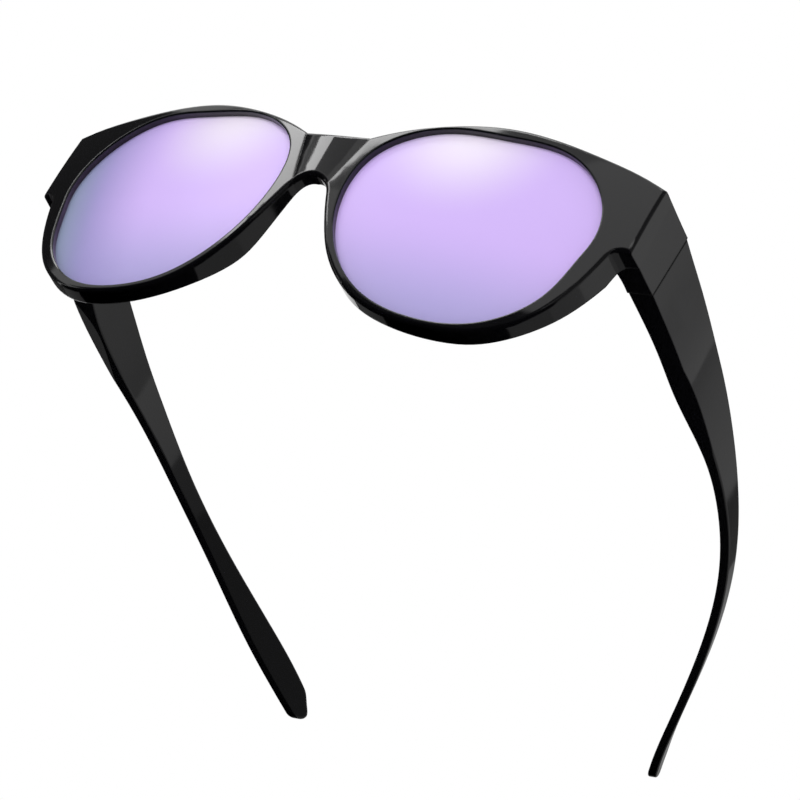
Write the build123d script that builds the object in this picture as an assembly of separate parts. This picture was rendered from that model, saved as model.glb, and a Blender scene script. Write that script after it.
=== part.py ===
from build123d import *
import math
import os

os.makedirs("parts", exist_ok=True)

# ----------------------------------------------------------------------------
# Fitover sunglasses.  Millimetres, +X to the wearer's left, +Y from the lenses
# back along the temples, +Z up.  Everything is drawn in an upright work frame
# (lens centre height at z = 0, front surface at y = 0 on the middle line) and
# laid on the table at the end: both rims and both temple tips touch z = 0.
# ----------------------------------------------------------------------------

# front surface
WRAP_RADIUS = 227.4        # curve of the front seen from above
FACE_RADIUS = 178.2        # curve of the front seen from the side
WRAP_CENTRE = 3.64         # each half wraps about its own upright line

# lenses
LENS_WIDTH = 57.6
LENS_HEIGHT = 50.4
LENS_APART = 17.68         # from one opening to the other, across the nose
LENS_SET = 1.8             # front face of the rim to the lens
LENS_THICK = 1.4
LENS_LIP = 0.5             # how far the lens edge runs into its groove
# outline of the opening, shares of half its width and half its height
LENS_SHAPE_SHARES = [(0.98, 0.0), (0.89, 0.59), (0.49, 0.96), (0.0, 1.0),
                     (-0.49, 0.965), (-0.93, 0.615), (-0.99, 0.0), (-0.79, -0.52),
                     (-0.44, -0.865), (0.0, -0.99), (0.46, -0.91), (0.83, -0.55)]

# rims: outline shares are of half the rim's width and half its height
RIM_WALL = 1.4
RIM_DEPTH = 6.6
BROW_SHARES = [(-0.736, 0.85), (-0.415, 0.97), (-0.031, 1.045), (0.353, 1.026),
               (0.734, 0.951), (1.055, 0.868), (1.227, 0.801), (1.37, 0.741)]
END_FOOT_SHARES = (1.37, 0.107)
RIM_LOW_SHARES = [(1.171, 0.104), (1.131, 0.083), (1.1, 0.045), (1.082, -0.011),
                  (1.042, -0.165), (0.969, -0.387), (0.847, -0.628), (0.661, -0.827),
                  (0.426, -0.955), (0.164, -1.0), (-0.144, -0.985), (-0.438, -0.891),
                  (-0.673, -0.71), (-0.856, -0.459), (-0.975, -0.199)]
# back edge: place as a share of the half width, depth as a share of the rim's
BACK_EDGE_SHARES = [(0.0, 0.495), (0.06, 0.545), (0.113, 0.84), (0.15, 1.01), (0.2, 0.99),
                    (0.27, 0.885), (0.34, 0.857), (0.44, 0.909), (0.56, 0.976), (0.67, 0.942),
                    (0.77, 0.835), (0.85, 0.81), (0.897, 0.888), (0.934, 1.009)]

# bridge: its pad is a shallow cone that bulges forward between two creases
BRIDGE_TOP_HALF = 8.4
BRIDGE_TOP_SHARE = 0.722   # of the rim's half height
BRIDGE_DIP = 1.0           # the top line sags in the middle
ARCH_TOP_SHARE = 0.244
# side of the arch, shares of half the lens gap and of the arch's height
ARCH_SHARES = [(0.633, 0.138), (0.486, 0.585), (0.249, 0.908)]
PAD_TOP_RISE = 1.2
PAD_FOOT_HALF = 4.5
PAD_FOOT_DROP = 1.6
PAD_FOOT_RISE = 0.6
PAD_PAST = 1.5             # the pad is drawn this far past its creases

# end pieces: shares are of their length and of the rim's half height
END_WIDTH = 8.0            # lens opening to the outer side
END_LONG = 14.73           # front corner back to the top of the butt joint
END_TOP_SHARES = [(0.076, 0.977), (0.11, 0.887), (0.225, 0.797), (0.59, 0.7726), (1.016, 0.7406)]
END_UNDER_SHARES = [(0.347, 0.107), (1.266, 0.064)]
END_INNER_SHARES = [(0.225, 3.38), (0.522, 2.31), (0.792, 2.08), (1.13, 2.02)]  # across: of ARM_THICK

# side arms: end piece and temple share one outer curve
TEMPLE_LONG = 127.9        # from the foot of the butt joint to the tip
ARM_THICK = 2.35
ARM_TURN_IN = 27.4         # how far the tip comes in from the front corner
ARM_DROP = 45.0            # how far the tip's middle hangs below the joint's
ARM_TOP_SHARE = 0.744      # at the joint, of the rim's half height
ARM_FOOT_SHARE = 0.0827
# outer curve ahead of the joint: share of the length, share of the turn in
END_OUTER_SHARES = [(-0.282, -0.038), (-0.142, 0.0)]
# stations along the temple, as shares of its length, turn in, thickness, drop
# and height: place, outer side, thickness, middle, height
TEMPLE_SHARES = [(-0.02, 0.034, 2.58, -0.021, 1.055), (0.046, 0.073, 2.38, 0.033, 0.972),
                 (0.093, 0.114, 2.24, 0.082, 0.915), (0.14, 0.148, 2.17, 0.132, 0.858),
                 (0.187, 0.166, 2.13, 0.173, 0.801), (0.265, 0.16, 1.77, 0.212, 0.707),
                 (0.359, 0.127, 1.23, 0.254, 0.565), (0.468, 0.07, 1.06, 0.324, 0.409),
                 (0.593, -0.047, 1.02, 0.444, 0.304), (0.718, -0.27, 1.0, 0.609, 0.318),
                 (0.844, -0.596, 1.0, 0.816, 0.449), (0.953, -0.89, 1.0, 0.99, 0.42)]
TIP_OUTER_SHARES = (1.02, -1.01, 1.0)
TIP_ROUND_SHARES = [(0.974, 0.978), (0.983, 1.027), (0.969, 1.073)]    # length, drop

# butt joint of end piece and temple
JOINT_LEAN = 1.9           # the top of the joint lies further back than its foot
JOINT_GAP = 0.15

# relief: a shallow flat along the temple's lower outer edge
RELIEF_WIDE = 3.0
RELIEF_SHARES = (0.14, 0.265, 0.453)   # start, widest, end; shares of TEMPLE_LONG

# hinge, five knuckles on one screw
HINGE_PROUD = 1.0          # pin axis inside the inner side of the arm
KNUCKLE_R = 1.5
KNUCKLE_H = 1.46
KNUCKLE_GAP = 0.06
KNUCKLE_ROOM = 0.18
SCREW_R = 0.65
SCREW_PLAY = 0.05
HEAD_R = 1.15
HEAD_H = 0.7
HEAD_ROOM = 0.35
SLOT_W = 0.35
SLOT_DEEP = 0.35
LEAF_T = 1.0
LEAF_SET = 0.85            # pin axis to the plate
LEAF_LONG = 7.0
LEAF_TILT = 12.0           # degrees; the temple's inner side leans out, its leaf follows
NECK_LAP = 0.2
NECK_DEEP = 2.2
NECK_ROOM = 0.12
POCKET_NEAR = 0.4
POCKET_WIDE = 4.5          # pockets open this far inwards of the pin axis

# edge rounding
RIM_EDGE = 0.9
OPENING_EDGE = 0.35
TEMPLE_EDGE = 0.45

OVERRUN = 60.0             # cutting blocks run this far past what they cut
NEAR_ENOUGH = 0.3          # picks the edges that lie in a surface

# laid on the table
REST_PITCH = 4.38          # degrees


# ----------------------------------------------------------------------------
# sizes that follow from the ones above
# ----------------------------------------------------------------------------
LENS_CENTRE_X = LENS_APART / 2 + LENS_WIDTH / 2
RIM_HALF_W = LENS_WIDTH / 2 + RIM_WALL
RIM_HALF_H = LENS_HEIGHT / 2 + RIM_WALL
HALF_WIDTH = LENS_CENTRE_X + LENS_WIDTH / 2 + END_WIDTH
BRIDGE_TOP_Z = BRIDGE_TOP_SHARE * RIM_HALF_H
ARCH_TOP_Z = ARCH_TOP_SHARE * RIM_HALF_H
PAD_FOOT_Z = ARCH_TOP_Z - PAD_FOOT_DROP


def front_y(x, z):
    x, z = abs(x) - WRAP_CENTRE, abs(z)
    return (WRAP_RADIUS - math.sqrt(WRAP_RADIUS ** 2 - x * x)
            + FACE_RADIUS - math.sqrt(FACE_RADIUS ** 2 - z * z))


END_FRONT_Y = front_y(HALF_WIDTH, 0)
JOINT_TOP_Y = END_FRONT_Y + END_LONG
JOINT_FOOT_Y = JOINT_TOP_Y - JOINT_LEAN
ARM_TOP_Z = ARM_TOP_SHARE * RIM_HALF_H
ARM_FOOT_Z = ARM_FOOT_SHARE * RIM_HALF_H
ARM_MID_Z = (ARM_TOP_Z + ARM_FOOT_Z) / 2
ARM_HEIGHT = ARM_TOP_Z - ARM_FOOT_Z


def on_rim(shares):
    return [(LENS_CENTRE_X + u * RIM_HALF_W, v * RIM_HALF_H) for u, v in shares]


def on_end(shares):
    return [(END_FRONT_Y + u * END_LONG, v * RIM_HALF_H) for u, v in shares]


def station_y(share):
    return JOINT_FOOT_Y + share * TEMPLE_LONG


def arm_x(turn_share):
    return HALF_WIDTH + turn_share * ARM_TURN_IN


ARM_OUT = ([(station_y(a), arm_x(b)) for a, b in END_OUTER_SHARES]
           + [(station_y(r[0]), arm_x(r[1])) for r in TEMPLE_SHARES]
           + [(station_y(TIP_OUTER_SHARES[0]), arm_x(TIP_OUTER_SHARES[1]))])
ARM_IN = [(station_y(r[0]), arm_x(r[1]) - r[2] * ARM_THICK) for r in TEMPLE_SHARES + [TIP_OUTER_SHARES]]
TEMPLE_MID = [(station_y(r[0]), ARM_MID_Z - r[3] * ARM_DROP, r[4] * ARM_HEIGHT / 2) for r in TEMPLE_SHARES]
TEMPLE_TOP = [(y, z + h) for y, z, h in TEMPLE_MID]
TEMPLE_FOOT = [(y, z - h) for y, z, h in TEMPLE_MID]


def curve_at(points, y):
    for (a, p), (b, q) in zip(points, points[1:]):
        if a <= y <= b:
            return p + (q - p) * (y - a) / (b - a)
    return points[-1][1]


HINGE_Z = ARM_MID_Z
HINGE_Y = JOINT_FOOT_Y + JOINT_LEAN * (HINGE_Z - ARM_FOOT_Z) / ARM_HEIGHT
HINGE_X = curve_at(ARM_IN, JOINT_FOOT_Y) - HINGE_PROUD
HINGE_H = 5 * KNUCKLE_H + 4 * KNUCKLE_GAP
HINGE_LOW = HINGE_Z - HINGE_H / 2
HINGE_AXIS = Axis((HINGE_X, HINGE_Y, 0), (0, 0, 1))
LEAF_X0 = HINGE_X + LEAF_SET
LEAF_X1 = LEAF_X0 + LEAF_T
LEAF_Y0 = KNUCKLE_R + KNUCKLE_ROOM


# ----------------------------------------------------------------------------
# helpers
# ----------------------------------------------------------------------------
def V(x, y, z):
    return Vector(x, y, z)


def face_of(edges):
    return Face(Wire(edges))


def push(face, x, y, z):
    return Solid.extrude(face, Vector(x, y, z))


def spline_xz(points, y, closed=False):
    return Edge.make_spline([V(a, y, b) for a, b in points], periodic=closed)


def behind_front(depth):
    """Everything further back than `depth` behind the front surface, one half."""
    r = FACE_RADIUS - depth
    z = LENS_HEIGHT
    y = FACE_RADIUS - math.sqrt(r * r - z * z)
    arc = Edge.make_three_point_arc(V(WRAP_CENTRE, y, -z), V(WRAP_CENTRE, depth, 0),
                                    V(WRAP_CENTRE, y, z))
    f = face_of([arc,
                 Edge.make_line(V(WRAP_CENTRE, y, z), V(WRAP_CENTRE, OVERRUN, z)),
                 Edge.make_line(V(WRAP_CENTRE, OVERRUN, z), V(WRAP_CENTRE, OVERRUN, -z)),
                 Edge.make_line(V(WRAP_CENTRE, OVERRUN, -z), V(WRAP_CENTRE, y, -z))])
    axis = Axis((WRAP_CENTRE, WRAP_RADIUS, 0), (0, 0, 1))
    swung = Solid.revolve(f, 34.0, axis)
    return swung.rotate(axis, -6.0)


def lens_outline(grow):
    pts = []
    for u, v in LENS_SHAPE_SHARES:
        a, b = u * LENS_WIDTH / 2, v * LENS_HEIGHT / 2
        k = 1 + grow / math.hypot(a, b)
        pts.append((LENS_CENTRE_X + a * k, b * k))
    return face_of([spline_xz(pts, -OVERRUN, closed=True)])


def biggest(shape):
    parts = shape.solids() if hasattr(shape, "solids") else list(shape)
    return max(parts, key=lambda s: s.volume)


def try_fillet(shape, edges, sizes):
    for r in sizes:
        try:
            out = shape.fillet(r, edges)
            if out.is_valid and out.volume > 0.9 * shape.volume:
                return biggest(out)
        except Exception:
            pass
    print("fillet left out", sizes, len(edges))
    return shape


# ----------------------------------------------------------------------------
# front frame, one half
# ----------------------------------------------------------------------------
def front_outline(y):
    """Right hand half of the outline, running on a little past the middle line."""
    corner = (BRIDGE_TOP_HALF, BRIDGE_TOP_Z)
    side = [(a * LENS_APART / 2, b * ARCH_TOP_Z) for a, b in ARCH_SHARES]
    arch = [(0, ARCH_TOP_Z)] + [(-a, b) for a, b in side[:-3:-1]]
    brow = on_rim(BROW_SHARES)
    foot = on_rim([END_FOOT_SHARES])[0]
    low = on_rim(RIM_LOW_SHARES)
    edges = [
        Edge.make_three_point_arc(V(-corner[0], y, corner[1]),
                                  V(0, y, corner[1] - BRIDGE_DIP),
                                  V(corner[0], y, corner[1])),
        spline_xz([corner] + brow, y),
        Edge.make_line(V(brow[-1][0], y, brow[-1][1]), V(foot[0], y, foot[1])),
        Edge.make_line(V(foot[0], y, foot[1]), V(low[0][0], y, low[0][1])),
        spline_xz(low + side + arch, y),
        Edge.make_line(V(arch[-1][0], y, arch[-1][1]), V(-corner[0], y, corner[1])),
    ]
    return face_of(edges)


def plan_of_rims():
    """Seen from above: everything between the table of the back edge and the front."""
    z = -OVERRUN
    wide = HALF_WIDTH + END_WIDTH
    inner = [V(a * HALF_WIDTH, front_y(a * HALF_WIDTH, 0) + b * RIM_DEPTH, z)
             for a, b in BACK_EDGE_SHARES]
    edges = [
        Edge.make_line(V(0, -OVERRUN, z), V(wide, -OVERRUN, z)),
        Edge.make_line(V(wide, -OVERRUN, z), V(wide, inner[-1].Y, z)),
        Edge.make_line(V(wide, inner[-1].Y, z), inner[-1]),
        Edge.make_spline(inner[::-1]),
        Edge.make_line(inner[0], V(0, -OVERRUN, z)),
    ]
    return push(face_of(edges), 0, 0, 2 * OVERRUN)


def outside_of_arm():
    z = -OVERRUN
    out = [V(x, y, z) for y, x in ARM_OUT]
    wide = HALF_WIDTH + OVERRUN
    edges = [Edge.make_spline(out),
             Edge.make_line(out[-1], V(wide, out[-1].Y, z)),
             Edge.make_line(V(wide, out[-1].Y, z), V(wide, out[0].Y, z)),
             Edge.make_line(V(wide, out[0].Y, z), out[0])]
    return push(face_of(edges), 0, 0, 2 * OVERRUN)


def end_arm():
    """The end piece from the rim back to the butt joint, outer side still square."""
    x = LENS_CENTRE_X
    top = [V(x, a, b) for a, b in on_end(END_TOP_SHARES)[2:]]
    foot = [V(x, a, b) for a, b in on_end(END_UNDER_SHARES)]
    slope = (foot[1].Z - foot[0].Z) / (foot[1].Y - foot[0].Y)
    start = V(x, top[0].Y, foot[0].Z + slope * (top[0].Y - foot[0].Y))
    edges = [Edge.make_spline(top), Edge.make_line(top[-1], V(x, foot[-1].Y, top[-1].Z)),
             Edge.make_line(V(x, foot[-1].Y, top[-1].Z), foot[-1]),
             Edge.make_line(foot[-1], start), Edge.make_line(start, top[0])]
    side = push(face_of(edges), OVERRUN, 0, 0)
    z = -OVERRUN
    inn = [V(HALF_WIDTH - b * ARM_THICK, END_FRONT_Y + a * END_LONG, z) for a, b in END_INNER_SHARES]
    wide = HALF_WIDTH + END_WIDTH
    plan = push(face_of([Edge.make_spline(inn), Edge.make_line(inn[-1], V(wide, inn[-1].Y, z)),
                         Edge.make_line(V(wide, inn[-1].Y, z), V(wide, inn[0].Y, z)),
                         Edge.make_line(V(wide, inn[0].Y, z), inn[0])]), 0, 0, 2 * OVERRUN)
    return biggest(side.intersect(plan))


def above_line(points):
    """Everything above a line seen from the side."""
    pts = [V(-OVERRUN, a, b) for a, b in points]
    edges = [Edge.make_spline(pts),
             Edge.make_line(pts[-1], V(-OVERRUN, pts[-1].Y, OVERRUN)),
             Edge.make_line(V(-OVERRUN, pts[-1].Y, OVERRUN), V(-OVERRUN, pts[0].Y, OVERRUN)),
             Edge.make_line(V(-OVERRUN, pts[0].Y, OVERRUN), pts[0])]
    return push(face_of(edges), HALF_WIDTH + 2 * OVERRUN, 0, 0)


def joint_block(front_side, gap):
    """Half space on one side of the leaning butt joint."""
    slope = JOINT_LEAN / ARM_HEIGHT
    y_low = JOINT_FOOT_Y + slope * (-OVERRUN - ARM_FOOT_Z) + gap
    y_high = JOINT_FOOT_Y + slope * (OVERRUN - ARM_FOOT_Z) + gap
    far = -OVERRUN if front_side else TEMPLE_LONG + 2 * OVERRUN
    x = -OVERRUN
    f = face_of([Edge.make_line(V(x, y_low, -OVERRUN), V(x, y_high, OVERRUN)),
                 Edge.make_line(V(x, y_high, OVERRUN), V(x, far, OVERRUN)),
                 Edge.make_line(V(x, far, OVERRUN), V(x, far, -OVERRUN)),
                 Edge.make_line(V(x, far, -OVERRUN), V(x, y_low, -OVERRUN))])
    return push(f, HALF_WIDTH + 2 * OVERRUN, 0, 0)


def polygon_prism(points, z0, z1):
    f = Face(Wire.make_polygon([V(a, b, z0) for a, b in points], close=True))
    return push(f, 0, 0, z1 - z0)


def leaf(knuckles, towards, tilt, hole_r):
    """One hinge leaf: plate, necks and its own knuckles; +1 runs back, -1 forward."""
    near = HINGE_Y + towards * LEAF_Y0
    far = HINGE_Y + towards * LEAF_LONG
    into = near + towards * NECK_LAP
    body = polygon_prism([(LEAF_X0, near), (LEAF_X1, near), (LEAF_X1, far), (LEAF_X0, far)],
                         HINGE_LOW, HINGE_LOW + HINGE_H)
    for k in knuckles:
        z0 = HINGE_LOW + k * (KNUCKLE_H + KNUCKLE_GAP)
        barrel = Solid.make_cylinder(KNUCKLE_R, KNUCKLE_H, Plane((HINGE_X, HINGE_Y, z0)))
        neck = polygon_prism([(HINGE_X + NECK_LAP, HINGE_Y), (HINGE_X + KNUCKLE_R, HINGE_Y),
                              (LEAF_X1, into), (LEAF_X0, into)], z0, z0 + KNUCKLE_H)
        body = body.fuse(barrel, neck)
    hole = Solid.make_cylinder(hole_r, HINGE_H + 2 * OVERRUN, Plane((HINGE_X, HINGE_Y, HINGE_LOW - OVERRUN)))
    body = biggest(body.cut(hole))
    return body.rotate(HINGE_AXIS, -tilt) if tilt else body


def leaf_pocket(towards, tilt):
    near = HINGE_Y + towards * POCKET_NEAR
    far = HINGE_Y + towards * LEAF_LONG
    p = polygon_prism([(HINGE_X - POCKET_WIDE, near), (LEAF_X1, near), (LEAF_X1, far),
                       (HINGE_X - POCKET_WIDE, far)], HINGE_LOW, HINGE_LOW + HINGE_H)
    return p.rotate(HINGE_AXIS, -tilt) if tilt else p


def neck_room(towards, tilt):
    """Space for the necks of the other leaf where they pass the butt joint."""
    x0, x1 = HINGE_X - POCKET_WIDE, LEAF_X1 + KNUCKLE_ROOM
    y0, y1 = HINGE_Y - towards * NECK_LAP, HINGE_Y + towards * NECK_DEEP
    p = polygon_prism([(x0, y0), (x1, y0), (x1, y1), (x0, y1)],
                      HINGE_LOW - NECK_ROOM, HINGE_LOW + HINGE_H + NECK_ROOM)
    return p.rotate(HINGE_AXIS, -tilt) if tilt else p


def knuckle_room():
    h = HINGE_H + 2 * (HEAD_H + HEAD_ROOM)
    return Solid.make_cylinder(KNUCKLE_R + KNUCKLE_ROOM, h, Plane((HINGE_X, HINGE_Y, HINGE_Z - h / 2)))


def crease_x(z):
    t = (z - PAD_FOOT_Z) / (BRIDGE_TOP_Z - PAD_FOOT_Z)
    return PAD_FOOT_HALF + t * (BRIDGE_TOP_HALF - PAD_FOOT_HALF)


def on_front(e):
    """Does this edge lie in the front surface?"""
    return all(abs(p.Y - front_y(p.X, p.Z)) < NEAR_ENOUGH
               for p in (e.position_at(t) for t in (0.05, 0.3, 0.5, 0.7, 0.95)))


def off_crease(e):
    """Not the edge that runs down the crease itself."""
    return any(abs(p.X - crease_x(p.Z)) > NEAR_ENOUGH
               for p in (e.position_at(0.0), e.position_at(0.5), e.position_at(1.0)))


def before_pad(e):
    """An upper or lower front edge of the bridge."""
    a, b = e.position_at(0.0), e.position_at(1.0)
    half_way = RIM_DEPTH * BACK_EDGE_SHARES[0][1] / 2
    return (abs(a.X - b.X) > PAD_PAST and max(a.Y, b.Y, e.position_at(0.5).Y) < half_way
            and off_crease(e))


def round_opening(e):
    m = [e.position_at(t) for t in (0.1, 0.4, 0.6, 0.9)]
    return all(abs(math.hypot((p.X - LENS_CENTRE_X) / (LENS_WIDTH / 2), p.Z / (LENS_HEIGHT / 2))
                   - 1.03) < 0.13 for p in m)


def beside_crease(bridge_side):
    """One side of the upright cut through the straight crease next to the bridge."""
    far = -OVERRUN if bridge_side else HALF_WIDTH + OVERRUN
    f = Face(Wire.make_polygon([V(crease_x(-OVERRUN), -OVERRUN, -OVERRUN),
                                V(crease_x(OVERRUN), -OVERRUN, OVERRUN),
                                V(far, -OVERRUN, OVERRUN), V(far, -OVERRUN, -OVERRUN)], close=True))
    return push(f, 0, 2 * OVERRUN, 0)


def pad_section(z):
    """Bridge pad at one height: an arc that bulges forward, solid behind it."""
    half_x = crease_x(z)
    t = (z - PAD_FOOT_Z) / (BRIDGE_TOP_Z - PAD_FOOT_Z)
    rise = PAD_FOOT_RISE + t * (PAD_TOP_RISE - PAD_FOOT_RISE)
    edge = front_y(half_x, z)
    r = (half_x ** 2 + rise ** 2) / (2 * rise)
    reach = half_x + PAD_PAST
    end = edge - rise + r - math.sqrt(r * r - reach * reach)
    back = 2 * RIM_DEPTH
    arc = Edge.make_three_point_arc(V(-reach, end, z), V(0, edge - rise, z), V(reach, end, z))
    return Wire([arc, Edge.make_line(V(reach, end, z), V(reach, back, z)),
                 Edge.make_line(V(reach, back, z), V(-reach, back, z)),
                 Edge.make_line(V(-reach, back, z), V(-reach, end, z))])


outline_prism = push(front_outline(-OVERRUN), 0, 2 * OVERRUN, 0)
block = biggest(outline_prism.intersect(plan_of_rims()))
block = biggest(block.cut(outside_of_arm()))
pad = Solid.make_loft([pad_section(PAD_FOOT_Z - PAD_PAST), pad_section(BRIDGE_TOP_Z + PAD_PAST)], True)
bridge = biggest(block.intersect(pad))
bridge = biggest(bridge.intersect(beside_crease(True)))
half = biggest(block.intersect(behind_front(0)))
half = biggest(half.intersect(beside_crease(False)))
rim_edges = [e for e in half.edges() if on_front(e) and off_crease(e)]
print("rim edges", [round(e.length, 1) for e in rim_edges])
half = try_fillet(half, rim_edges, [RIM_EDGE, RIM_EDGE * 0.8, RIM_EDGE * 0.6])
pad_edges = [e for e in bridge.edges() if before_pad(e)]
print("pad edges", [round(e.length, 1) for e in pad_edges])
bridge = try_fillet(bridge, pad_edges, [RIM_EDGE, RIM_EDGE * 0.8, RIM_EDGE * 0.6])
half = biggest(half.fuse(bridge))
print("half and bridge", round(half.volume, 1), half.is_valid)
half = biggest(half.cut(above_line(on_end(END_TOP_SHARES))))
half = biggest(half.fuse(biggest(end_arm().cut(outside_of_arm()))))
half = biggest(half.intersect(joint_block(True, 0)))
print("half", round(half.volume, 1), half.is_valid)

opening = push(lens_outline(0), 0, 2 * OVERRUN, 0)
lens_slab = behind_front(LENS_SET).cut(behind_front(LENS_SET + LENS_THICK))
lens = biggest(push(lens_outline(LENS_LIP), 0, 2 * OVERRUN, 0).intersect(lens_slab))
half = biggest(half.cut(opening))
open_edges = [e for e in half.edges() if round_opening(e) and on_front(e) and e.length > 2 * LENS_WIDTH]
print("open edges", [round(e.length, 1) for e in open_edges])
half = try_fillet(half, open_edges, [OPENING_EDGE, OPENING_EDGE * 0.7])
half = biggest(half.cut(lens))
half = biggest(half.cut(leaf_pocket(-1, 0), knuckle_room(), neck_room(1, LEAF_TILT)))
print("half front cut", round(half.volume, 1), half.is_valid)

front = biggest(half.fuse(half.mirror(Plane.YZ)))
print("front", round(front.volume, 1), front.is_valid, len(front.faces()))


# ----------------------------------------------------------------------------
# temple
# ----------------------------------------------------------------------------
def temple_plan():
    z = -OVERRUN
    out = [V(x, y, z) for y, x in ARM_OUT]
    inn = [V(x, y, z) for y, x in ARM_IN]
    edges = [Edge.make_spline(out), Edge.make_line(out[-1], inn[-1]),
             Edge.make_spline(inn[::-1]), Edge.make_line(inn[0], V(inn[0].X, out[0].Y, z)),
             Edge.make_line(V(inn[0].X, out[0].Y, z), out[0])]
    return push(face_of(edges), 0, 0, 2 * OVERRUN)


def temple_side():
    x = -OVERRUN
    top = [V(x, a, b) for a, b in TEMPLE_TOP]
    foot = [V(x, a, b) for a, b in TEMPLE_FOOT]
    tip = [V(x, station_y(a), ARM_MID_Z - b * ARM_DROP) for a, b in TIP_ROUND_SHARES]
    edges = [Edge.make_spline(top),
             Edge.make_spline([top[-1]] + tip + [foot[-1]],
                              tangents=[top[-1] - top[-2], foot[-2] - foot[-1]]),
             Edge.make_spline(foot[::-1]),
             Edge.make_line(foot[0], top[0])]
    return push(face_of(edges), HALF_WIDTH + 2 * OVERRUN, 0, 0)


def relief():
    """Half space under a plane that touches the lower outer edge at both its ends."""
    start, mid, end = [station_y(s) for s in RELIEF_SHARES]
    a = V(curve_at(ARM_OUT, start), start, curve_at(TEMPLE_FOOT, start))
    b = V(curve_at(ARM_OUT, end), end, curve_at(TEMPLE_FOOT, end))
    c = V(curve_at(ARM_OUT, mid) - RELIEF_WIDE, mid, curve_at(TEMPLE_FOOT, mid))
    n = (b - a).cross(c - a)
    n = n if n.Z < 0 else n * -1
    low = Plane(origin=a, z_dir=n)
    block = Solid.make_box(4 * OVERRUN, 4 * OVERRUN, OVERRUN,
                           Plane(origin=low.from_local_coords(V(-2 * OVERRUN, -2 * OVERRUN, 0)),
                                 x_dir=low.x_dir, z_dir=low.z_dir))
    keep = polygon_prism([(0, 0), (HALF_WIDTH + OVERRUN, 0), (HALF_WIDTH + OVERRUN, end), (0, end)],
                         -OVERRUN, OVERRUN)
    return biggest(block.intersect(keep))


temple = biggest(temple_plan().intersect(temple_side()))
print("temple raw", round(temple.volume, 1), temple.is_valid, len(temple.edges()))
temple = biggest(temple.intersect(joint_block(False, JOINT_GAP)))
temple = biggest(temple.cut(relief()))
upper = [e for e in temple.edges()
         if e.length > TEMPLE_LONG / 2 and e.position_at(0.3).Z > curve_at(
             [(y, z) for y, z, h in TEMPLE_MID], e.position_at(0.3).Y)]
inner_foot = [e for e in temple.edges()
              if e.length > TEMPLE_LONG / 2 and e not in upper and e.position_at(0.3).X < (
                  curve_at(ARM_OUT, e.position_at(0.3).Y) + curve_at(ARM_IN, e.position_at(0.3).Y)) / 2]
print("temple edges", [round(e.length, 1) for e in upper], [round(e.length, 1) for e in inner_foot])
temple = try_fillet(temple, upper + inner_foot, [TEMPLE_EDGE, TEMPLE_EDGE * 0.8, TEMPLE_EDGE * 0.6])
temple = biggest(temple.cut(leaf_pocket(1, LEAF_TILT), knuckle_room(), neck_room(-1, 0)))
print("temple", round(temple.volume, 1), temple.is_valid, len(temple.faces()))

# ----------------------------------------------------------------------------
# hinge
# ----------------------------------------------------------------------------
front_leaf = leaf((0, 2, 4), -1, 0, SCREW_R)
temple_leaf = leaf((1, 3), 1, LEAF_TILT, SCREW_R + SCREW_PLAY)
shank = Solid.make_cylinder(SCREW_R, HINGE_H, Plane((HINGE_X, HINGE_Y, HINGE_LOW)))
head = Solid.make_cylinder(HEAD_R, HEAD_H, Plane((HINGE_X, HINGE_Y, HINGE_LOW + HINGE_H)))
slot = Solid.make_box(4 * HEAD_R, SLOT_W, 2 * SLOT_DEEP,
                      Plane((HINGE_X - 2 * HEAD_R, HINGE_Y - SLOT_W / 2,
                             HINGE_LOW + HINGE_H + HEAD_H - SLOT_DEEP)))
screw = biggest(shank.fuse(head).cut(slot))

# ----------------------------------------------------------------------------
# laid on the table and written out
# ----------------------------------------------------------------------------
PARTS = {
    "front_frame": front,
    "lens_left": lens, "lens_right": lens.mirror(Plane.YZ),
    "temple_left": temple, "temple_right": temple.mirror(Plane.YZ),
    "hinge_front_leaf_left": front_leaf, "hinge_front_leaf_right": front_leaf.mirror(Plane.YZ),
    "hinge_temple_leaf_left": temple_leaf, "hinge_temple_leaf_right": temple_leaf.mirror(Plane.YZ),
    "hinge_screw_left": screw, "hinge_screw_right": screw.mirror(Plane.YZ),
}
tilt_axis = Axis((0, 0, 0), (1, 0, 0))
laid = {k: s.rotate(tilt_axis, REST_PITCH) for k, s in PARTS.items()}
box = Compound(children=[Compound([s]) for s in laid.values()]).bounding_box()
shift = V(0, -(box.min.Y + box.max.Y) / 2, -box.min.Z)
for name, solid in laid.items():
    out = solid.translate(shift)
    out.label = name
    export_step(out, f"parts/{name}.step")
    bb = out.bounding_box()
    print(f"{name:26s} vol {out.volume:9.2f} valid {out.is_valid} "
          f"x {bb.min.X:7.2f} {bb.max.X:7.2f} y {bb.min.Y:7.2f} {bb.max.Y:7.2f} z {bb.min.Z:6.2f} {bb.max.Z:6.2f}")
for name in ("front_frame", "temple_left"):
    print(name, "lowest", round(laid[name].bounding_box().min.Z, 2))
c, s = math.cos(math.radians(REST_PITCH)), math.sin(math.radians(REST_PITCH))
hy, hz = HINGE_Y * c - HINGE_Z * s + shift.Y, HINGE_Y * s + HINGE_Z * c + shift.Z
print("hinge at", round(HINGE_X, 3), round(hy, 3), round(hz, 3), "axis", 0, round(-s, 4), round(c, 4))
print("shift", round(shift.Y, 3), round(shift.Z, 3), "size", [round(v, 2) for v in box.size])
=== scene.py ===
import math

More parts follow.
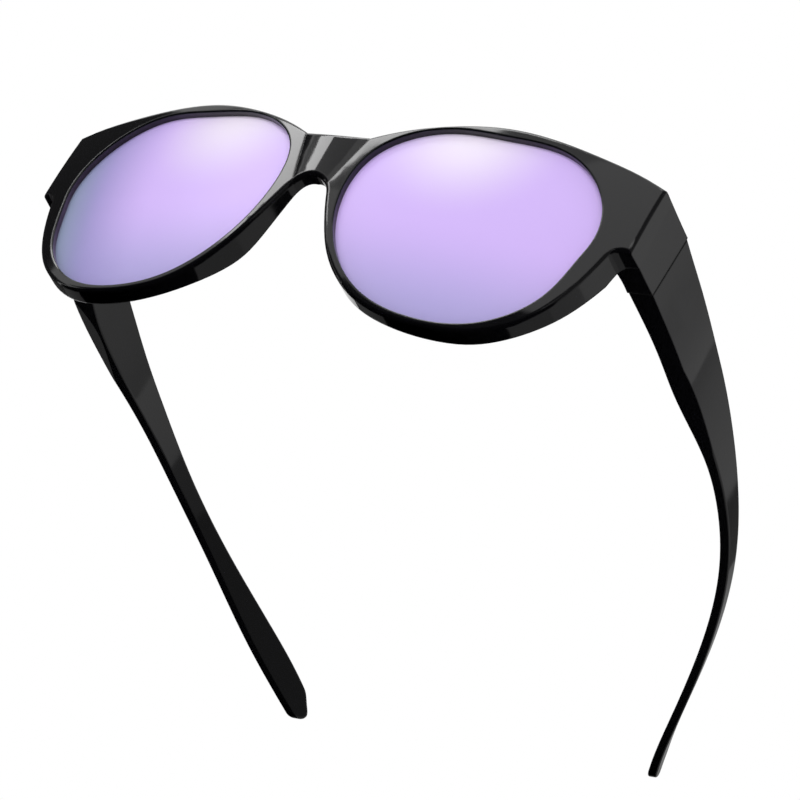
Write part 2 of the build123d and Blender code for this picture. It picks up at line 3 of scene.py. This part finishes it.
import bpy
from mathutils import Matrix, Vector


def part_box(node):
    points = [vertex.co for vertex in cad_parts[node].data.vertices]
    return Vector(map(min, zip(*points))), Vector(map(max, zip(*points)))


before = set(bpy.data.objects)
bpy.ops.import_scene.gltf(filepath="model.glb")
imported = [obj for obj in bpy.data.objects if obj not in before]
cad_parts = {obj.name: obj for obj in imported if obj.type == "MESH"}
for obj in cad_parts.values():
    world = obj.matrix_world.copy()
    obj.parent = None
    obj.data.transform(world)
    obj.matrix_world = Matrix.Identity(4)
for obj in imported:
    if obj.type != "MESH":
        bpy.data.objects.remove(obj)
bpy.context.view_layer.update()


# Front frame: the rims, the bridge and both end pieces are one injection moulding in
# polycarbonate, dyed black right through and tumbled until it shines, so the eye sees a
# black body under a thin, sharp reflection, with a bright line where an edge is broken.
def from_hex(text):
    """sRGB hex value to the linear colour that Blender expects."""
    channels = [int(text[i:i + 2], 16) / 255 for i in (0, 2, 4)]
    return tuple(c / 12.92 if c <= 0.04045 else ((c + 0.055) / 1.055) ** 2.4
                 for c in channels) + (1.0,)


def add_node(tree, kind, settings=None, inputs=None):
    """One shader node with its settings; an input is a value or another node's socket."""
    node = tree.nodes.new(kind)
    for name, value in (settings or {}).items():
        setattr(node, name, value)
    for name, value in (inputs or {}).items():
        if isinstance(value, bpy.types.NodeSocket):
            tree.links.new(value, node.inputs[name])
        else:
            node.inputs[name].default_value = value
    return node


def new_material(name):
    material = bpy.data.materials.new(name)
    material.use_nodes = True
    material.node_tree.nodes.clear()
    return material, material.node_tree


def dress(node_name, material):
    """Gives a carried-over piece its material."""
    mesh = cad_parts[node_name].data
    mesh.materials.clear()
    mesh.materials.append(material)


MM = 0.001                       # Blender works in metres
TUMBLED_BLACK = "08080a"
TUMBLED_ROUGHNESS = (0.05, 0.10)
PLASTIC_IOR = 1.5
HANDLING_SMEAR_MM = 9.0
SMEAR_SPAN = (0.35, 0.7)         # the noise seldom leaves it
SMEAR_DETAIL = 5.0
SMEAR_FINENESS = 0.6
EDGE_BREAK_MM = 0.45             # what tumbling leaves of a moulded edge
EDGE_SAMPLES = 4


def polished_polycarbonate(name):
    """Black plastic; the gloss is a little uneven where fingers have smeared it."""
    material, tree = new_material(name)
    place = add_node(tree, "ShaderNodeTexCoord").outputs["Object"]
    smear = add_node(tree, "ShaderNodeTexNoise", {}, {
        "Vector": place, "Scale": 1 / (HANDLING_SMEAR_MM * MM),
        "Detail": SMEAR_DETAIL, "Roughness": SMEAR_FINENESS})
    gloss = add_node(tree, "ShaderNodeMapRange", {}, {
        "Value": smear.outputs["Fac"], "From Min": SMEAR_SPAN[0], "From Max": SMEAR_SPAN[1],
        "To Min": TUMBLED_ROUGHNESS[0], "To Max": TUMBLED_ROUGHNESS[1]})
    edge = add_node(tree, "ShaderNodeBevel", {"samples": EDGE_SAMPLES}, {
        "Radius": EDGE_BREAK_MM * MM})
    shader = add_node(tree, "ShaderNodeBsdfPrincipled", {}, {
        "Base Color": from_hex(TUMBLED_BLACK), "Roughness": gloss.outputs["Result"],
        "IOR": PLASTIC_IOR, "Normal": edge.outputs["Normal"]})
    add_node(tree, "ShaderNodeOutputMaterial", {}, {"Surface": shader.outputs["BSDF"]})
    return material


black_frame = polished_polycarbonate("polished_black_polycarbonate")
dress("front_frame", black_frame)


# Lenses: curved smoke polycarbonate in a groove of each rim, with a vacuum-deposited mirror
# coat in front: lilac seen square on, violet and slate blue as it slants away, partly its own
# shift and partly painted reflection, greyer low down as a painted reflection, and a painted
# highlight near white at the brow.  It softens what it mirrors, and the bare side next to the
# eye is dark.
COAT_LILAC = "dabfff"
# painted reflection: the lower part of the lens greyer, as it mirrors darker low surroundings
CHEEK_PAINTED_REFLECTION = "bbb2e6"
# painted highlight: near white at the brow of each lens
PAINTED_BROW_HIGHLIGHT = "fbf3ff"
# violet and slate where the lens slants away: partly the coat's own shift, partly painted
# reflection of darker surroundings, more of it towards the bottom
VIOLET_COAT_AND_REFLECTION = "a49cd4"
SLATE_COAT_AND_REFLECTION = "98a6c0"
SMOKE_TINT = "2c2833"
CHEEK_REFLECTION_UP = (0.503, 0.015)        # down the lens, in shares of its height
# where the painted brow highlight sits and how far it reaches
BROW_HIGHLIGHT_OUT = 0.373            # out from the nose side, in shares of the lens's width
BROW_HIGHLIGHT_UP = 0.951
BROW_HIGHLIGHT_REACH = 0.391
BROW_HIGHLIGHT_SHARE = 0.85
VIOLET_SLANT = (0.44, 0.52)
SLATE_SLANT = (0.49, 0.54)
SLANT_DROP = 0.205               # both need so much less slant at the bottom than on top
SLANT_EVEN_UP = 0.405            # and this far up they need just what is given above
TURN_TO_BACK = (-0.2, 0.2)       # the normal's Y, from the front round to the back
COAT_ROUGHNESS = 0.28
COAT_GLOSS = 0.15
COAT_IOR = 1.45
BARE_ROUGHNESS = 0.07
EVEN_FACING = 0.5                # Layer Weight then gives the slant unbent
COLOUR_A, COLOUR_B, COLOUR_OUT = 6, 7, 2     # the Mix node's sockets for colours


def mirror_coated_lens():
    """Lilac coat, painted reflection, painted brow highlight and bare back, laid over each
    other.
    """
    low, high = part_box("lens_left")
    wide, tall = high[0] - low[0], high[2] - low[2]
    cheek_reflection_span = [low[2] + share * tall for share in CHEEK_REFLECTION_UP]
    glow = (low[0] + BROW_HIGHLIGHT_OUT * wide, 0.0, low[2] + BROW_HIGHLIGHT_UP * tall)
    material, tree = new_material("mirror_coated_polycarbonate")
    surface = add_node(tree, "ShaderNodeTexCoord")
    spot = add_node(tree, "ShaderNodeSeparateXYZ", {}, {"Vector": surface.outputs["Object"]})
    turn = add_node(tree, "ShaderNodeSeparateXYZ", {}, {"Vector": surface.outputs["Normal"]})
    height = spot.outputs["Z"]
    outward = add_node(tree, "ShaderNodeMath", {"operation": "ABSOLUTE"}, {
        0: spot.outputs["X"]})
    flat = add_node(tree, "ShaderNodeCombineXYZ", {}, {
        "X": outward.outputs["Value"], "Z": height})
    reach = add_node(tree, "ShaderNodeVectorMath", {"operation": "DISTANCE"}, {
        0: flat.outputs["Vector"], 1: glow})
    facing = add_node(tree, "ShaderNodeLayerWeight", {}, {"Blend": EVEN_FACING})
    lower = add_node(tree, "ShaderNodeMath", {"operation": "MULTIPLY_ADD"}, {
        0: height, 1: -SLANT_DROP / tall, 2: SLANT_DROP * (SLANT_EVEN_UP + low[2] / tall)})
    slant = add_node(tree, "ShaderNodeMath", {"operation": "ADD"}, {
        0: lower.outputs["Value"], 1: facing.outputs["Facing"]})
    colour = from_hex(COAT_LILAC)
    # layers: painted reflection low down, painted brow highlight, coat shift with painted
    # reflection at a slant, bare back
    for value, (start, end), share, layer in (
            (height, cheek_reflection_span, 1.0, CHEEK_PAINTED_REFLECTION),
            (reach.outputs["Value"], (BROW_HIGHLIGHT_REACH * wide, 0.0), BROW_HIGHLIGHT_SHARE, PAINTED_BROW_HIGHLIGHT),
            (slant.outputs["Value"], VIOLET_SLANT, 1.0, VIOLET_COAT_AND_REFLECTION),
            (slant.outputs["Value"], SLATE_SLANT, 1.0, SLATE_COAT_AND_REFLECTION),
            (turn.outputs["Y"], TURN_TO_BACK, 1.0, SMOKE_TINT)):
        ramp = add_node(tree, "ShaderNodeMapRange", {"interpolation_type": "SMOOTHSTEP"}, {
            "Value": value, "From Min": start, "From Max": end, "To Min": 0.0, "To Max": share})
        cover = add_node(tree, "ShaderNodeMix", {"data_type": "RGBA"}, {
            "Factor": ramp.outputs["Result"], COLOUR_A: colour, COLOUR_B: from_hex(layer)})
        colour = cover.outputs[COLOUR_OUT]
    gloss = add_node(tree, "ShaderNodeMapRange", {}, {
        "Value": ramp.outputs["Result"], "To Min": COAT_ROUGHNESS, "To Max": BARE_ROUGHNESS})
    shader = add_node(tree, "ShaderNodeBsdfPrincipled", {}, {
        "Base Color": colour, "Roughness": gloss.outputs["Result"], "IOR": COAT_IOR,
        "Specular IOR Level": COAT_GLOSS})
    add_node(tree, "ShaderNodeOutputMaterial", {}, {"Surface": shader.outputs["BSDF"]})
    return material


coated_lens = mirror_coated_lens()
dress("lens_left", coated_lens)
dress("lens_right", coated_lens)


# Temples: one moulding each, in the same black polycarbonate as the front and tumbled in
# the same barrel, so they take its finish.  Each is held to the front by its hinge alone.
for temple in ("temple_left", "temple_right"):
    dress(temple, black_frame)


# Hinge leaves: stamped from rolled stainless strip and pressed into pockets of the moulding.
# The strip keeps its rolling grain, which drags the shine out into soft level streaks.
STEEL_GREY = "b9babd"
GRAIN_LENGTH_MM = 3.0
GRAIN_PITCH_MM = 0.12            # coarser than the real grain, which would not show
GRAIN_SPAN = (0.3, 0.7)          # the noise seldom leaves it
GRAIN_DETAIL = 3.0
GRAIN_FINENESS = 0.5
GRAIN_ROUGHNESS = (0.22, 0.38)
GRAIN_DEPTH_MM = 0.004
GRAIN_RELIEF = 0.5


def rolled_steel():
    """Bare steel whose fine grain runs level, in its gloss and in its relief."""
    material, tree = new_material("rolled_stainless_steel")
    place = add_node(tree, "ShaderNodeTexCoord").outputs["Object"]
    along, across = 1 / (GRAIN_LENGTH_MM * MM), 1 / (GRAIN_PITCH_MM * MM)
    stretched = add_node(tree, "ShaderNodeMapping", {}, {
        "Vector": place, "Scale": (along, along, across)})
    grain = add_node(tree, "ShaderNodeTexNoise", {}, {
        "Vector": stretched.outputs["Vector"], "Scale": 1.0,
        "Detail": GRAIN_DETAIL, "Roughness": GRAIN_FINENESS})
    gloss = add_node(tree, "ShaderNodeMapRange", {}, {
        "Value": grain.outputs["Fac"], "From Min": GRAIN_SPAN[0], "From Max": GRAIN_SPAN[1],
        "To Min": GRAIN_ROUGHNESS[0], "To Max": GRAIN_ROUGHNESS[1]})
    relief = add_node(tree, "ShaderNodeBump", {}, {
        "Height": grain.outputs["Fac"], "Strength": GRAIN_RELIEF,
        "Distance": GRAIN_DEPTH_MM * MM})
    shader = add_node(tree, "ShaderNodeBsdfPrincipled", {}, {
        "Base Color": from_hex(STEEL_GREY), "Metallic": 1.0,
        "Roughness": gloss.outputs["Result"], "Normal": relief.outputs["Normal"]})
    add_node(tree, "ShaderNodeOutputMaterial", {}, {"Surface": shader.outputs["BSDF"]})
    return material


leaf_steel = rolled_steel()
for leaf in ("hinge_front_leaf_", "hinge_temple_leaf_"):
    for side in ("left", "right"):
        dress(leaf + side, leaf_steel)


# Hinge screws: turned from stainless bar, slotted, and driven down through the knuckles.
# The lathe tool leaves fine rings on the head, which glint in turn.  They are drawn about
# twice as coarse as they are, because they would not show otherwise.
SCREW_GREY = "c6c7ca"
TURNING_RING_MM = 0.16
RING_ROUGHNESS = (0.16, 0.30)
WAVE_RADIANS = 20                # how far Blender's wave turns over one unit


def turned_steel(side):
    """Bare steel with rings about the middle of this side's screw."""
    low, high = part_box("hinge_screw_" + side)
    middle = [(a + b) / 2 for a, b in zip(low, high)]
    material, tree = new_material("turned_stainless_steel_" + side)
    place = add_node(tree, "ShaderNodeTexCoord").outputs["Object"]
    centred = add_node(tree, "ShaderNodeMapping", {}, {
        "Vector": place, "Location": (-middle[0], -middle[1], -middle[2])})
    rings = add_node(tree, "ShaderNodeTexWave", {"wave_type": "RINGS", "rings_direction": "Z"}, {
        "Vector": centred.outputs["Vector"], "Distortion": 0.0,
        "Scale": math.tau / WAVE_RADIANS / (TURNING_RING_MM * MM)})
    gloss = add_node(tree, "ShaderNodeMapRange", {}, {
        "Value": rings.outputs["Fac"],
        "To Min": RING_ROUGHNESS[0], "To Max": RING_ROUGHNESS[1]})
    shader = add_node(tree, "ShaderNodeBsdfPrincipled", {}, {
        "Base Color": from_hex(SCREW_GREY), "Metallic": 1.0,
        "Roughness": gloss.outputs["Result"]})
    add_node(tree, "ShaderNodeOutputMaterial", {}, {"Surface": shader.outputs["BSDF"]})
    return material


for side in ("left", "right"):
    dress("hinge_screw_" + side, turned_steel(side))


# Table top and backdrop: a plain pale sheet that only shows the object's shadow from above
# and is clear from below, because the picture is taken from lower than the glasses.  The
# backdrop is white to the eye and in the gloss, and gives only a weak light of its own.
FLOOR_HALF = 1.6
FLOOR_PALE = "f2f2f2"
BACKDROP_WHITE = "ffffff"
BACKDROP_STRENGTH = 1.0
AMBIENT_STRENGTH = 0.30
SHADER_A, SHADER_B = 1, 2        # the Mix Shader node's sockets for shaders


def studio_floor():
    mesh = bpy.data.meshes.new("floor")
    corners = [(x * FLOOR_HALF, y * FLOOR_HALF, 0)
               for x, y in ((-1, -1), (1, -1), (1, 1), (-1, 1))]
    mesh.from_pydata(corners, [], [(0, 1, 2, 3)])
    floor = bpy.data.objects.new("floor", mesh)
    bpy.context.scene.collection.objects.link(floor)
    material, tree = new_material("white_table_top")
    back = add_node(tree, "ShaderNodeNewGeometry").outputs["Backfacing"]
    pale = add_node(tree, "ShaderNodeBsdfDiffuse", {}, {"Color": from_hex(FLOOR_PALE)})
    clear = add_node(tree, "ShaderNodeBsdfTransparent")
    sheet = add_node(tree, "ShaderNodeMixShader", {}, {
        "Fac": back, SHADER_A: pale.outputs["BSDF"], SHADER_B: clear.outputs["BSDF"]})
    add_node(tree, "ShaderNodeOutputMaterial", {}, {"Surface": sheet.outputs["Shader"]})
    mesh.materials.append(material)
    floor.visible_glossy = False


def white_backdrop():
    world = bpy.data.worlds.new("studio")
    bpy.context.scene.world = world
    world.use_nodes = True
    tree = world.node_tree
    tree.nodes.clear()
    path = add_node(tree, "ShaderNodeLightPath")
    seen = path.outputs["Is Camera Ray"]
    for ray in ("Is Glossy Ray", "Is Transmission Ray"):
        either = add_node(tree, "ShaderNodeMath", {"operation": "MAXIMUM"}, {
            0: seen, 1: path.outputs[ray]})
        seen = either.outputs["Value"]
    ambient = add_node(tree, "ShaderNodeBackground", {}, {
        "Color": from_hex(BACKDROP_WHITE), "Strength": AMBIENT_STRENGTH})
    backdrop = add_node(tree, "ShaderNodeBackground", {}, {
        "Color": from_hex(BACKDROP_WHITE), "Strength": BACKDROP_STRENGTH})
    sky = add_node(tree, "ShaderNodeMixShader", {}, {
        "Fac": seen, SHADER_A: ambient.outputs["Background"],
        SHADER_B: backdrop.outputs["Background"]})
    add_node(tree, "ShaderNodeOutputWorld", {}, {"Surface": sky.outputs["Shader"]})


studio_floor()
white_backdrop()


# Lamps and cards: soft lamps light the glasses, two from the front and one from above.  What
# the gloss mirrors is set by cards, as for any polished black thing: bright ones for the shine
# on the brow and the bridge, grey ones behind, and black flags in front and below.
AIM_POINT = Vector((0, -0.04, 0.03))     # between the lenses and a little behind them
CARD_WHITE = "ffffff"


def aimed(thing, azimuth, elevation, distance):
    """Puts a lamp or a card at a direction seen from the glasses, facing them."""
    a, e = math.radians(azimuth), math.radians(elevation)
    away = Vector((math.cos(e) * math.sin(a), -math.cos(e) * math.cos(a), math.sin(e)))
    thing.location = AIM_POINT + away * distance
    thing.rotation_euler = away.to_track_quat("Z", "Y").to_euler()
    bpy.context.scene.collection.objects.link(thing)


def softbox(name, azimuth, elevation, distance, width, height, brightness):
    """An area lamp whose face is so many times as bright as white, kept out of the gloss."""
    lamp = bpy.data.lights.new(name, "AREA")
    lamp.shape = "RECTANGLE"
    lamp.size, lamp.size_y = width, height
    lamp.energy = brightness * math.pi * width * height
    thing = bpy.data.objects.new(name, lamp)
    aimed(thing, azimuth, elevation, distance)
    thing.visible_camera = thing.visible_glossy = False


def card(name, azimuth, elevation, distance, width, height, level):
    """A card that only shows in the gloss: 0 is a black flag, 1 is white, more is lit."""
    mesh = bpy.data.meshes.new(name)
    w, h = width / 2, height / 2
    mesh.from_pydata([(-w, -h, 0), (w, -h, 0), (w, h, 0), (-w, h, 0)], [], [(0, 1, 2, 3)])
    thing = bpy.data.objects.new(name, mesh)
    material, tree = new_material(name)
    glow = add_node(tree, "ShaderNodeEmission", {}, {
        "Color": from_hex(CARD_WHITE), "Strength": level})
    add_node(tree, "ShaderNodeOutputMaterial", {}, {"Surface": glow.outputs["Emission"]})
    mesh.materials.append(material)
    aimed(thing, azimuth, elevation, distance)
    thing.visible_camera = thing.visible_diffuse = thing.visible_shadow = False
    thing.visible_transmission = thing.visible_volume_scatter = False


# A row is the name, degrees round from the front and up, metres away, wide and high, and
# last how bright it is.  Left and right in the names are as the camera sees them.
SOFTBOXES = (
    ("key_softbox", -12, 12, 1.4, 1.1, 0.8, 2.6),
    ("front_fill", 22, 6, 1.5, 1.2, 0.7, 1.8),
    ("top_fill", 60, 82, 1.4, 1.2, 1.2, 1.9),
)
CARDS = (
    ("key_strip", -44, 41, 1.0, 0.21, 0.77, 6.5),
    ("key_top", -33, 50, 1.01, 0.24, 0.44, 6.0),
    ("key_spread", -36, 49, 1.05, 0.75, 0.75, 0.6),
    ("flag_below", 0, -89, 0.6, 6.0, 6.0, 0.0),
    ("flag_left", -97, 17, 1.3, 1.6, 1.2, 0.05),
    ("flag_low_front", -15, 2, 1.4, 2.8, 0.70, 0.05),
    ("flag_right", 68, 22, 1.3, 1.9, 1.8, 0.15),
    ("card_right_end", 112, 32, 1.32, 0.36, 1.3, 0.25),
    ("card_right_side", 127, 32, 1.32, 0.33, 1.3, 0.62),
    ("card_right_rear", 148, 33, 1.34, 0.62, 1.3, 0.36),
    ("flag_rear", 168.5, 33, 1.34, 0.38, 1.3, 0.10),
    ("card_behind", -164, 33, 1.3, 0.95, 1.3, 0.28),
    ("card_low_rear", 140, -26, 0.9, 0.9, 0.42, 0.32),
    ("horizon_110", 110, -3, 1.6, 1.2, 0.62, 0.40),
    ("horizon_150", 150, -3, 1.6, 1.2, 0.62, 0.40),
    ("horizon_190", 190, -3, 1.6, 1.2, 0.62, 0.12),
    ("horizon_230", 230, -3, 1.6, 1.2, 0.62, 0.12),
)
for row in SOFTBOXES:
    softbox(*row)
for row in CARDS:
    card(*row)


# Camera: in front of the glasses, lower than they are and to the wearer's left.  It looks up
# at them through a long lens, past the rims to the tips of both temples.
SENSOR_MM = 36
FRAME_PIXELS = 800
FOCAL_PIXELS = 4668.4
NEAR_CLIP = 0.05
CAMERA_PLACE = (0.53905, -0.68022, -0.54087)
CAMERA_TURN = (127.6293, -25.2851, 20.6463)      # degrees about X, Y and Z

camera = bpy.data.cameras.new("camera")
camera.sensor_width = SENSOR_MM
camera.lens = FOCAL_PIXELS / FRAME_PIXELS * SENSOR_MM
camera.clip_start = NEAR_CLIP
camera_thing = bpy.data.objects.new("camera", camera)
camera_thing.location = CAMERA_PLACE
camera_thing.rotation_euler = [math.radians(v) for v in CAMERA_TURN]
bpy.context.scene.collection.objects.link(camera_thing)
bpy.context.scene.camera = camera_thing
bpy.context.scene.view_settings.view_transform = "Standard"
